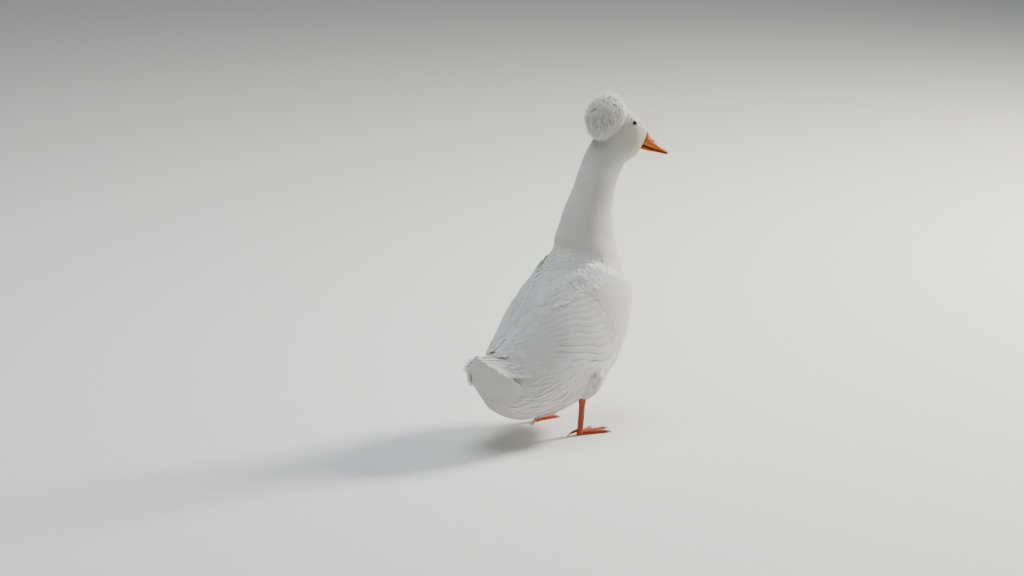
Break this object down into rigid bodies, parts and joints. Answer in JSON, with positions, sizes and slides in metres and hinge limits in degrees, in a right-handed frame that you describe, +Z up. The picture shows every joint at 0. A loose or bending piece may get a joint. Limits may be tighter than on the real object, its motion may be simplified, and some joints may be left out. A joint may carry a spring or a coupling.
{
  "type": "crested duck model",
  "caption": "Life-size still model of a white domestic duck with a round crest, standing alert with its head turned aside.",
  "frame": {"origin": "middle of the bird's box in X and Y, at the level of the floor under its feet", "axes": "+Z up; the body faces -Y, its tail is towards +Y, its left side is at +X and its right side at -X; the head is turned to -X"},
  "size_m": [0.1938, 0.4266, 0.5976],
  "materials": {
    "plumage": "matt white feathers",
    "eye": "wet, glossy, almost black",
    "bill_horn": "smooth orange horn",
    "leg_skin": "red-orange scaled skin",
    "claw": "pale brown horn"
  },
  "bodies": {
    "root": {"torso": "plumage", "neck": "plumage", "head": "plumage", "crest": "plumage", "tail": "plumage", "wing_left": "plumage", "wing_right": "plumage", "thigh_left": "plumage", "thigh_right": "plumage", "eye_left": "eye", "eye_right": "eye", "bill_upper": "bill_horn", "bill_lower": "bill_horn", "shank_left": "leg_skin", "foot_left": "leg_skin", "claw_inner_left": "claw", "claw_middle_left": "claw", "claw_outer_left": "claw", "claw_hind_left": "claw", "shank_right": "leg_skin", "foot_right": "leg_skin", "claw_inner_right": "claw", "claw_middle_right": "claw", "claw_outer_right": "claw", "claw_hind_right": "claw"}
  },
  "joints": []
}
